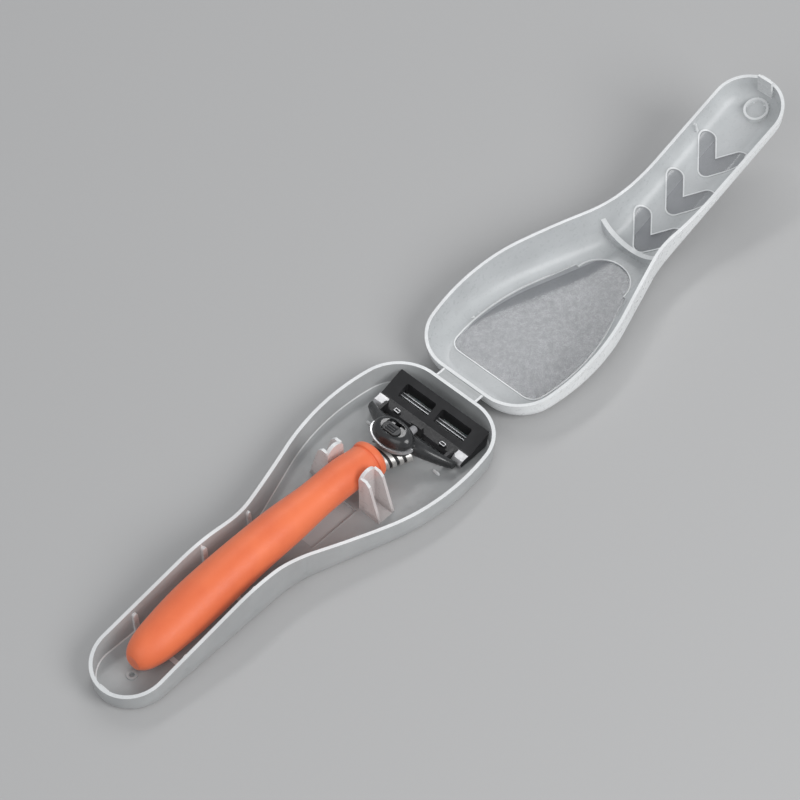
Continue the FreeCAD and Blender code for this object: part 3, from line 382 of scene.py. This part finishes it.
def soft_grip(name, color, shade):
    """Soft matte rubber with a fine pebbled skin and a faint mottling."""
    material = finish(name, base_color=color, ior=1.5, sheen_weight=0.15, sheen_roughness=0.5)
    join(material, two_tone(material, noise(material, grain=0.014, detail=4.0), shade, color), "Base Color")
    pebble = noise(material, grain=0.00045, detail=2.0)
    join(material, spread(material, pebble, 0.42, 0.58), "Roughness")
    relief(material, pebble, depth=0.00003, strength=0.6)
    relief(material, noise(material, grain=0.006, detail=2.0), depth=0.00008, strength=0.3)
    return material


def plated(name, color, roughness=0.15, metal=1.0):
    """Plating with faint brush lines and finger smears."""
    material = finish(name, base_color=color, metallic=metal)
    smear = noise(material, grain=0.004, detail=4.0)
    join(material, spread(material, smear, roughness - 0.05, roughness + 0.08), "Roughness")
    join(material, two_tone(material, smear, shaded(color, 0.93), color), "Base Color")
    brushed = noise(material, grain=0.0004, detail=2.0, stretch=(1.0, 12.0, 1.0))
    relief(material, brushed, depth=0.000008, strength=0.4)
    return material


def glossy_plastic(name, color):
    """Polished dark plastic with a clear coat and faint swirls."""
    material = finish(name, base_color=color, ior=1.5, coat_weight=0.3, coat_roughness=0.06)
    swirl = noise(material, grain=0.003, detail=5.0)
    join(material, two_tone(material, swirl, color, shaded(color, 1.5)), "Base Color")
    join(material, spread(material, swirl, 0.16, 0.28), "Roughness")
    relief(material, noise(material, grain=0.0012, detail=2.0), depth=0.00001, strength=0.4)
    return material


def satin_plastic(name, color, roughness=0.42):
    """Spark-textured dark plastic."""
    material = finish(name, base_color=color, ior=1.49)
    spark = noise(material, grain=0.00035, detail=3.0)
    join(material, spread(material, spark, roughness - 0.08, roughness + 0.1), "Roughness")
    cloud = noise(material, grain=0.005, detail=3.0)
    join(material, two_tone(material, cloud, color, shaded(color, 1.6)), "Base Color")
    relief(material, spark, depth=0.000025, strength=0.6)
    return material


def ground_steel(name, color, roughness=0.25, metal=1.0):
    """Steel with grinding lines along the blade."""
    material = finish(name, base_color=color, metallic=metal)
    lines = noise(material, grain=0.00012, detail=3.0, stretch=(1.0, 60.0, 1.0))
    join(material, spread(material, lines, roughness - 0.09, roughness + 0.09), "Roughness")
    join(material, two_tone(material, lines, shaded(color, 0.9), color), "Base Color")
    relief(material, lines, depth=0.000006, strength=0.5)
    return material


def waxy_strip(name, color):
    """Waxy polymer with a pale bloom."""
    material = finish(name, base_color=color, ior=1.45, subsurface_weight=0.2, subsurface_scale=0.001)
    bloom = noise(material, grain=0.0015, detail=4.0)
    join(material, two_tone(material, bloom, color, shaded(color, 1.25)), "Base Color")
    join(material, spread(material, bloom, 0.35, 0.55), "Roughness")
    relief(material, bloom, depth=0.00004, strength=0.5)
    return material


def dress(node, *materials, pick=None):
    """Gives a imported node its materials, each face the one that a rule picks."""
    mesh = NODES[node].data
    mesh.materials.clear()
    for material in materials:
        mesh.materials.append(material)
    for face in mesh.polygons:
        face.material_index = pick(mesh, face) if pick else 0


# Material slots: body, the edge whose paler colour is painted highlight and glow, a special finish, and the
# band whose paler colour is painted glow on the lid's outside walls.
BODY, EDGE_HIGHLIGHT, SPECIAL, GLOW_BAND = range(4)


def station_of(place):
    """Distance of a place on the closed case from its hinge end."""
    return HINGE.x - HINGE_HALF_GAP - place.x


def closed_place(place):
    """Where a place on the open lid lies when the case is closed."""
    return HINGE + CLOSING @ (place - HINGE)


def within(mesh, face, station, half, closing=False):
    """Whether all corners of a face lie close to one station, as on a thin rib."""
    for index in face.vertices:
        corner = mesh.vertices[index].co
        if abs(station_of(closed_place(corner) if closing else corner) - station) > half:
            return False
    return True


def tray_finish(mesh, face):
    """Which of the tray's finishes a face takes: body, bright edge with painted highlight, or post with
    painted bounce light.
    """
    up, place = face.normal.z, face.center
    station = station_of(place)
    near_post = abs(station - POST_STATION) < POST_HALF_LENGTH
    # Posts take the pink that paints the grip's bounced light; their tops take the edge's painted highlight.
    if near_post and POST_INNER < abs(place.y) < POST_OUTER and place.z > TRAY_FLOOR:
        return EDGE_HIGHLIGHT if up > POST_TOP_UP and place.z > TRAY_EDGE_LOW else SPECIAL
    # Rim tops take the edge's painted highlight.
    if up > RIM_UP and place.z > TRAY_EDGE_LOW:
        return EDGE_HIGHLIGHT
    # A painted highlight line along the rounding where the walls meet the floor.
    if FOOT_UP_LEAST < up < FOOT_UP_MOST and TRAY_FLOOR < place.z < TRAY_FLOOR + TRAY_FOOT:
        return EDGE_HIGHLIGHT
    # A painted highlight line on the window's edges.
    along = WINDOW_FRONT - WINDOW_MARGIN < station < WINDOW_BACK + WINDOW_MARGIN
    beside = along and abs(place.y) < WINDOW_HALF + WINDOW_MARGIN
    if abs(up) < UPRIGHT and place.z < TRAY_FLOOR and beside:
        return EDGE_HIGHLIGHT
    if face.normal.y * math.copysign(1.0, place.y) > SIDEWAYS:
        return BODY
    # Painted highlight on the ribs across the floor.
    for rib in TRAY_RIBS:
        if abs(station - rib) < TRAY_RIB_HALF and within(mesh, face, rib, TRAY_RIB_HALF):
            return EDGE_HIGHLIGHT
    return BODY


def ceiling_at(x):
    """Height of the open lid's inside along its middle: flat, then bent, then sloping."""
    run = x - CEILING_START
    bend = CEILING_RADIUS * math.sin(CEILING_ANGLE)
    if run <= 0:
        return CEILING
    if run < bend:
        return CEILING + CEILING_RADIUS - math.sqrt(CEILING_RADIUS ** 2 - run ** 2)
    return CEILING + CEILING_RADIUS * (1 - math.cos(CEILING_ANGLE)) + (run - bend) * math.tan(CEILING_ANGLE)


def chevron_gap(station, across):
    """Distance from a place in the lid to the middle line of its nearest chevron."""
    gaps = []
    for start in CHEVRON_STATIONS:
        run = station - start
        length = math.hypot(CHEVRON_ARM, CHEVRON_SPREAD)
        share = min(1.0, max(0.0, (run * CHEVRON_ARM + across * CHEVRON_SPREAD) / length ** 2))
        gaps.append(math.hypot(run - share * CHEVRON_ARM, across - share * CHEVRON_SPREAD))
    return min(gaps)


def on_crown(normal):
    """Whether an outside face of the lid lies on its crown, which leans only along the case."""
    lean = math.atan2(normal.x, -normal.z)
    return abs(normal.y) < CROWN_TURN and -CROWN_TURN < lean < CEILING_ANGLE + CROWN_TURN


def lid_finish(mesh, face):
    """Which of the lid's finishes a face takes: body, bright edge with painted highlight, clear panel, or
    outer band with painted glow.
    """
    up, place = face.normal.z, face.center
    closed = closed_place(place)
    station, across = station_of(closed), abs(closed.y)
    over = place.z - ceiling_at(place.x)
    # The latch tongue takes the edge's painted highlight.
    if LATCH_FRONT < station < LATCH_BACK and over > LATCH_OVER and up > -UPRIGHT:
        corners = [mesh.vertices[index].co.y for index in face.vertices]
        if max(abs(y) for y in corners) < LATCH_HALF_WIDTH:
            return EDGE_HIGHLIGHT
    # Outside faces off the crown take the band, whose paler colour paints the glow through the wall.
    if (CLOSING @ face.normal).z > OUTWARD:
        return BODY if on_crown(face.normal) else GLOW_BAND
    # Rims, the saddle, the rib, the panel's bead, the boss and the chevrons' outlines take the edge's
    # painted highlight.
    if up > RIM_UP and over > LID_RIM_OVER:
        return EDGE_HIGHLIGHT
    raised = up > SADDLE_UP and over > SADDLE_OVER
    if raised and within(mesh, face, SADDLE_STATION, SADDLE_HALF, closing=True):
        return EDGE_HIGHLIGHT
    at_rib = abs(station - LID_RIB) < LID_RIB_HALF
    if at_rib and within(mesh, face, LID_RIB, LID_RIB_HALF, closing=True):
        return EDGE_HIGHLIGHT
    if station < PANEL_END:
        if up > PANEL_UP and place.z < PANEL_HEIGHT:
            return SPECIAL
        bead_top = up > BEAD_UP and over > BEAD_OVER
        bead_side = up < BEAD_SIDE_UP and over < BEAD_SIDE_OVER
        return EDGE_HIGHLIGHT if bead_top or bead_side else BODY
    if BOSS_INNER < math.hypot(station - BOSS_STATION, across) < BOSS_OUTER and over > BOSS_OVER:
        return EDGE_HIGHLIGHT
    gap = chevron_gap(station, across)
    if gap < CHEVRON_HALF:
        return SPECIAL
    return EDGE_HIGHLIGHT if gap < CHEVRON_HALF + BEAD_WIDTH else BODY


def blade_finish(mesh, face):
    """Which of a blade's finishes a face takes: dark side, a near-black copy of the steel that paints shade,
    or bright flat edge, made part diffuse to show in low light as a painted highlight.
    """
    return EDGE_HIGHLIGHT if abs(face.normal.z) > BLADE_EDGE_UP else BODY


def wrap(bm, rings, joined=False):
    """Faces between neighbouring rings of points, joined round to the first or capped at both ends."""
    for first, second in zip(rings, rings[1:] + rings[:1] if joined else rings[1:]):
        for index in range(len(first)):
            after = (index + 1) % len(first)
            bm.faces.new((first[index], first[after], second[after], second[index]))
    if not joined:
        bm.faces.new(rings[0])
        bm.faces.new(rings[-1])


def mesh_piece(name, bm, material, body):
    """Turns a bmesh into a piece that rides on a body."""
    bmesh.ops.recalc_face_normals(bm, faces=bm.faces)
    mesh = bpy.data.meshes.new(name)
    bm.to_mesh(mesh)
    bm.free()
    for face in mesh.polygons:
        face.use_smooth = True
    piece = bpy.data.objects.new(name, mesh)
    bpy.context.scene.collection.objects.link(piece)
    mesh.materials.append(material)
    if body:
        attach(piece, body)
    return piece


# Operators

class RAZORCASE_OT_shells(bpy.types.Operator):
    """Dress the tray and the lid in milky plastic with bright edges, whose paler colour is painted highlight
    and glow
    """

    bl_idname = "razorcase.shells"
    bl_label = "Shells"

    def execute(self, context):
        case = context.scene.case_settings
        # The edge finish paints highlight and glow in the rims' paler colour.
        edge = milky_plastic("milky_edge_highlight", case.rim_color, case.rim_cover, roughness=0.28)
        tray = milky_plastic("milky_tray", case.tray_color, case.plastic_cover, roughness=0.34)
        # The post colour paints the warm light bounced from the grip.
        post = milky_plastic("milky_post_bounce", case.post_bounce_color, case.plastic_cover, roughness=0.3)
        dress("tray", tray, edge, post, pick=tray_finish)
        lid = milky_plastic("milky_lid", case.lid_color, case.plastic_cover, roughness=0.3)
        panel = milky_plastic("clear_panel", case.panel_color, case.panel_cover, roughness=0.13)
        # The band paints the glow of light through the lid's outer walls.
        band = glow_banded_plastic("milky_band_glow", case.band_glow_color, case.lid_color, case.rim_cover, roughness=0.3)
        dress("lid", lid, edge, panel, band, pick=lid_finish)
        return {"FINISHED"}


class RAZORCASE_OT_strap(bpy.types.Operator):
    """Build the living hinge strap between tray and lid, thinned along its fold line"""

    bl_idname = "razorcase.strap"
    bl_label = "Hinge strap"

    def execute(self, context):
        case = context.scene.case_settings
        low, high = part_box("hinge_web")
        bm = bmesh.new()
        rings = []
        for row in range(case.strap_rows + 1):
            share = row / case.strap_rows
            x = low.x + share * (high.x - low.x)
            dip = math.sin(math.pi * share) ** 2
            thick = (high.z - low.z) - dip * (high.z - low.z - case.strap_thin)
            top = high.z - dip * (high.z - low.z - thick) / 2
            inner = high.y - case.strap_end
            level = [(low.y, top), (-inner, top), (inner, top), (high.y, top)]
            corners = level + [(y, z - thick) for y, z in reversed(level)]
            rings.append([bm.verts.new((x, y, z)) for y, z in corners])
        wrap(bm, rings)
        material = milky_plastic("milky_strap", case.strap_color, case.rim_cover, roughness=0.3)
        strap = mesh_piece("hinge_strap", bm, material, None)
        # The ends take the rims' paler colour, which paints highlight and glow.
        pale = milky_plastic("milky_strap_end_highlight", case.rim_color, case.rim_cover, roughness=0.28)
        strap.data.materials.append(pale)
        for face in strap.data.polygons:
            face.use_smooth = False
            face.material_index = int(abs(face.center.y) > high.y - case.strap_end)
        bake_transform(strap)
        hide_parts("hinge_web")
        return {"FINISHED"}


class RAZORCASE_OT_handle(bpy.types.Operator):
    """Dress the grip, its core, the ribbed neck and the rings"""

    bl_idname = "razorcase.handle"
    bl_label = "Handle"

    def execute(self, context):
        razor = context.scene.razor_settings
        dress("handle_grip", soft_grip("orange_grip", razor.grip_color, razor.grip_shade))
        dress("handle_core", satin_plastic("core_moulding", shaded(razor.housing_color, 1.5)))
        dress("neck_sleeve", plated("satin_neck", razor.neck_color, roughness=0.38, metal=0.6))
        rubber = satin_plastic("ring_rubber", shaded(razor.cartridge_color, 0.9), roughness=0.55)
        dress("neck_rings", rubber)
        return {"FINISHED"}


class RAZORCASE_OT_head(bpy.types.Operator):
    """Dress the head housing, its lip, the yoke, the button, the plunger and the springs"""

    bl_idname = "razorcase.head"
    bl_label = "Head"

    def execute(self, context):
        razor = context.scene.razor_settings
        gloss = glossy_plastic("charcoal_gloss", razor.housing_color)
        for node in ("hub_housing", "yoke"):
            dress(node, gloss)
        dress("hub_trim", plated("plated_lip", razor.plated_color, roughness=0.3, metal=0.7))
        satin = satin_plastic("charcoal_satin", shaded(razor.housing_color, 1.2))
        for node in ("release_button", "ejector"):
            dress(node, satin)
        dress("plunger", satin_plastic("plunger_grey", razor.plunger_color, roughness=0.35))
        for node in ("button_spring", "plunger_spring"):
            dress(node, ground_steel(node + "_wire", razor.steel_color))
        return {"FINISHED"}


class RAZORCASE_OT_cartridge(bpy.types.Operator):
    """Dress the cartridge, its blades, strips and clips"""

    bl_idname = "razorcase.cartridge"
    bl_label = "Cartridge"

    def execute(self, context):
        razor = context.scene.razor_settings
        dress("cartridge_frame", satin_plastic("cartridge_black", razor.cartridge_color))
        # Blade edges keep the steel's colour but part diffuse, so they show in low light, a painted
        # highlight; the sides take the steel darkened to 6 per cent, painted shade.
        edge = ground_steel("blade_edge", razor.steel_color, roughness=0.45, metal=0.4)
        side = ground_steel("blade_side_shade", shaded(razor.steel_color, 0.06))
        for node in sorted(NODES):
            if node.startswith("blade_"):
                dress(node, side, edge, pick=blade_finish)
        dress("lubricating_strip", waxy_strip("lubricating_wax", razor.strip_color))
        guard = satin_plastic("guard_rubber", shaded(razor.cartridge_color, 1.2), roughness=0.6)
        dress("guard_strip", guard)
        clip = plated("clip_aluminium", razor.clip_color, roughness=0.34, metal=0.6)
        for node in ("clip_far", "clip_near"):
            dress(node, clip)
        return {"FINISHED"}


class RAZORCASE_OT_eyelets(bpy.types.Operator):
    """Build the two small metal eyelets on the cartridge's pads"""

    bl_idname = "razorcase.eyelets"
    bl_label = "Eyelets"

    def execute(self, context):
        razor = context.scene.razor_settings
        material = plated("eyelet_metal", shaded(razor.clip_color, 0.9), roughness=0.3)
        for name, side in (("eyelet_far", 1.0), ("eyelet_near", -1.0)):
            bm = bmesh.new()
            wrap(bm, [self.loop(bm, razor, side, *level) for level in EYELET_PROFILE], joined=True)
            mesh_piece(name, bm, material, "cartridge")
        return {"FINISHED"}

    def loop(self, bm, razor, side, outer, level, grow):
        """One rounded rectangle on the ring's outside or inside, at a share of its height."""
        half_x, half_y = razor.eyelet_size[0] / 2, razor.eyelet_size[1] / 2
        if not outer:
            half_x, half_y = half_x - razor.eyelet_wall, half_y - razor.eyelet_wall
        half_x, half_y = half_x + grow * razor.eyelet_wall, half_y + grow * razor.eyelet_wall
        points = []
        for step in range(EYELET_STEPS):
            turn = 2 * math.pi * (step + 0.5) / EYELET_STEPS
            x = half_x * math.copysign(abs(math.cos(turn)) ** EYELET_ROUNDNESS, math.cos(turn))
            y = half_y * math.copysign(abs(math.sin(turn)) ** EYELET_ROUNDNESS, math.sin(turn))
            points.append(bm.verts.new((
                razor.eyelet_place[0] + x, side * razor.eyelet_place[1] + y,
                razor.eyelet_place[2] + level * razor.eyelet_size[2])))
        return points


class RAZORCASE_OT_stops(bpy.types.Operator):
    """Build the two small moulded stops on the tray's floor behind the razor's head"""

    bl_idname = "razorcase.stops"
    bl_label = "Head stops"

    def execute(self, context):
        case = context.scene.case_settings
        # The stops take the rims' paler colour, which paints highlight and glow.
        material = milky_plastic("milky_stop", case.rim_color, case.rim_cover, roughness=0.26)
        for name, side in (("head_stop_far", 1.0), ("head_stop_near", -1.0)):
            bm = bmesh.new()
            rings = []
            for row in range(STOP_ROWS + 1):
                share = 2.0 * row / STOP_ROWS - 1.0
                taper = math.sqrt(max(STOP_TIP, 1.0 - share ** 4))
                place = Vector(case.stop_place)
                place.y = side * place.y + share * case.stop_length / 2
                ring = []
                for step in range(STOP_STEPS + 1):
                    turn = math.pi * step / STOP_STEPS
                    ring.append(bm.verts.new((
                        place.x + math.cos(turn) * taper * case.stop_height / 2, place.y,
                        place.z + math.sin(turn) * taper * case.stop_height)))
                rings.append(ring)
            wrap(bm, rings)
            mesh_piece(name, bm, material, "tray")
        return {"FINISHED"}


class RAZORCASE_OT_stage(bpy.types.Operator):
    """Set the camera, the lamps, the sky and the floor"""

    bl_idname = "razorcase.stage"
    bl_label = "Stage"

    def execute(self, context):
        stage = context.scene.stage_settings
        self.camera(context.scene, stage)
        self.floor(context.scene, stage)
        turn = stage.azimuth
        right = Vector((math.cos(turn), math.sin(turn), 0))
        back = Vector((math.sin(turn), -math.cos(turn), 0))
        for name, place, size, power in (("key_lamp", KEY_PLACE, KEY_SIZE, stage.key_power),
                                         ("fill_lamp", FILL_PLACE, FILL_SIZE, stage.fill_power)):
            self.lamp(name, right * place[0] + back * place[1] + Vector((0, 0, place[2])), size, power)
        self.strip(stage)
        self.sky(context.scene, stage)
        context.scene.view_settings.view_transform = "Standard"
        return {"FINISHED"}

    def camera(self, scene, stage):
        """Camera at the photo's angle, placed from the hinge axis."""
        data = bpy.data.cameras.new("photo_camera")
        data.sensor_width = SENSOR_WIDTH
        data.lens = stage.lens
        data.clip_start = CLIP_NEAR
        data.clip_end = CLIP_FAR
        camera = bpy.data.objects.new("photo_camera", data)
        scene.collection.objects.link(camera)
        turn, lift, roll = stage.azimuth, stage.elevation, stage.roll
        back = Vector((math.sin(turn) * math.cos(lift), -math.cos(turn) * math.cos(lift), math.sin(lift)))
        level = Vector((math.cos(turn), math.sin(turn), 0))
        upright = back.cross(level)
        right = math.cos(roll) * level + math.sin(roll) * upright
        up = back.cross(right)
        axes = Matrix((right, up, back)).transposed().to_4x4()
        camera.matrix_world = Matrix.Translation(HINGE + Vector(stage.eye)) @ axes
        scene.camera = camera

    def floor(self, scene, stage):
        """Plain pale floor under the case."""
        bm = bmesh.new()
        bmesh.ops.create_grid(bm, x_segments=1, y_segments=1, size=stage.floor_size / 2)
        mesh = bpy.data.meshes.new("pale_floor")
        bm.to_mesh(mesh)
        bm.free()
        floor = bpy.data.objects.new("pale_floor", mesh)
        scene.collection.objects.link(floor)
        material = finish("pale_floor", base_color=stage.floor_color, specular_ior_level=0.2)
        join(material, spread(material, noise(material, grain=0.002, detail=3.0), 0.75, 0.9), "Roughness")
        mesh.materials.append(material)

    def lamp(self, name, place, size, power):
        """Round soft lamp that looks at the middle of the case."""
        data = bpy.data.lights.new(name, "AREA")
        data.shape = "DISK"
        data.size = size
        data.energy = power
        lamp = bpy.data.objects.new(name, data)
        bpy.context.scene.collection.objects.link(lamp)
        lamp.location = place
        lamp.rotation_mode = "QUATERNION"
        lamp.rotation_quaternion = (-place).to_track_quat("-Z", "Y")
        return lamp

    def strip(self, stage):
        """Long lamp beyond the lid, where its panel mirrors it towards the camera."""
        low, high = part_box("lid")
        panel = Vector((low.x + (high.x - low.x) / 3, 0, 0))
        away = Vector((-stage.eye[0], -stage.eye[1], stage.eye[2]))
        lamp = self.lamp("strip_lamp", panel + away, STRIP_LENGTH, stage.strip_power)
        lamp.data.shape = "RECTANGLE"
        lamp.data.size = STRIP_WIDTH
        lamp.data.size_y = STRIP_LENGTH
        along = Vector((1.0, 0.0, 0.0))
        back = away.normalized()
        side = along.cross(back).normalized()
        axes = Matrix((side, back.cross(side), back)).transposed().to_4x4()
        lamp.rotation_mode = "QUATERNION"
        lamp.rotation_quaternion = axes.to_quaternion()

    def sky(self, scene, stage):
        """Even light from all round."""
        world = bpy.data.worlds.new("studio_sky")
        world.use_nodes = True
        background = world.node_tree.nodes["Background"]
        background.inputs["Color"].default_value = (*stage.sky_color, 1.0)
        background.inputs["Strength"].default_value = stage.sky
        scene.world = world


class RAZORCASE_PT_panel(bpy.types.Panel):
    """Lists the case's steps in the sidebar"""

    bl_idname = "RAZORCASE_PT_panel"
    bl_label = "Razor Case"
    bl_space_type = "VIEW_3D"
    bl_region_type = "UI"
    bl_category = "Razor Case"

    def draw(self, context):
        """A button for each step, then the settings."""
        column = self.layout.column(align=True)
        for step in STEPS:
            column.operator(step.bl_idname, text=step.bl_label)
        for group_name, group in GROUPS.items():
            box = self.layout.box()
            for name in group.__annotations__:
                box.prop(getattr(context.scene, group_name), name)


STEPS = (
    RAZORCASE_OT_shells,
    RAZORCASE_OT_strap,
    RAZORCASE_OT_handle,
    RAZORCASE_OT_head,
    RAZORCASE_OT_cartridge,
    RAZORCASE_OT_eyelets,
    RAZORCASE_OT_stops,
    RAZORCASE_OT_stage,
)
GROUPS = {"case_settings": CaseSettings, "razor_settings": RazorSettings, "stage_settings": StageSettings}


def register():
    """Makes the settings, the operators and the panel known."""
    for group in GROUPS.values():
        bpy.utils.register_class(group)
    for name, group in GROUPS.items():
        setattr(bpy.types.Scene, name, PointerProperty(type=group))
    for item in (*STEPS, RAZORCASE_PT_panel):
        bpy.utils.register_class(item)


def unregister():
    """Takes the panel, the operators and the settings away again."""
    for item in reversed((*STEPS, RAZORCASE_PT_panel)):
        bpy.utils.unregister_class(item)
    for name in GROUPS:
        delattr(bpy.types.Scene, name)
    for group in reversed(GROUPS.values()):
        bpy.utils.unregister_class(group)


def main():
    """Runs all the steps in order."""
    register()
    for step in STEPS:
        area, name = step.bl_idname.split(".")
        getattr(getattr(bpy.ops, area), name)()


if __name__ == "__main__":
    main()
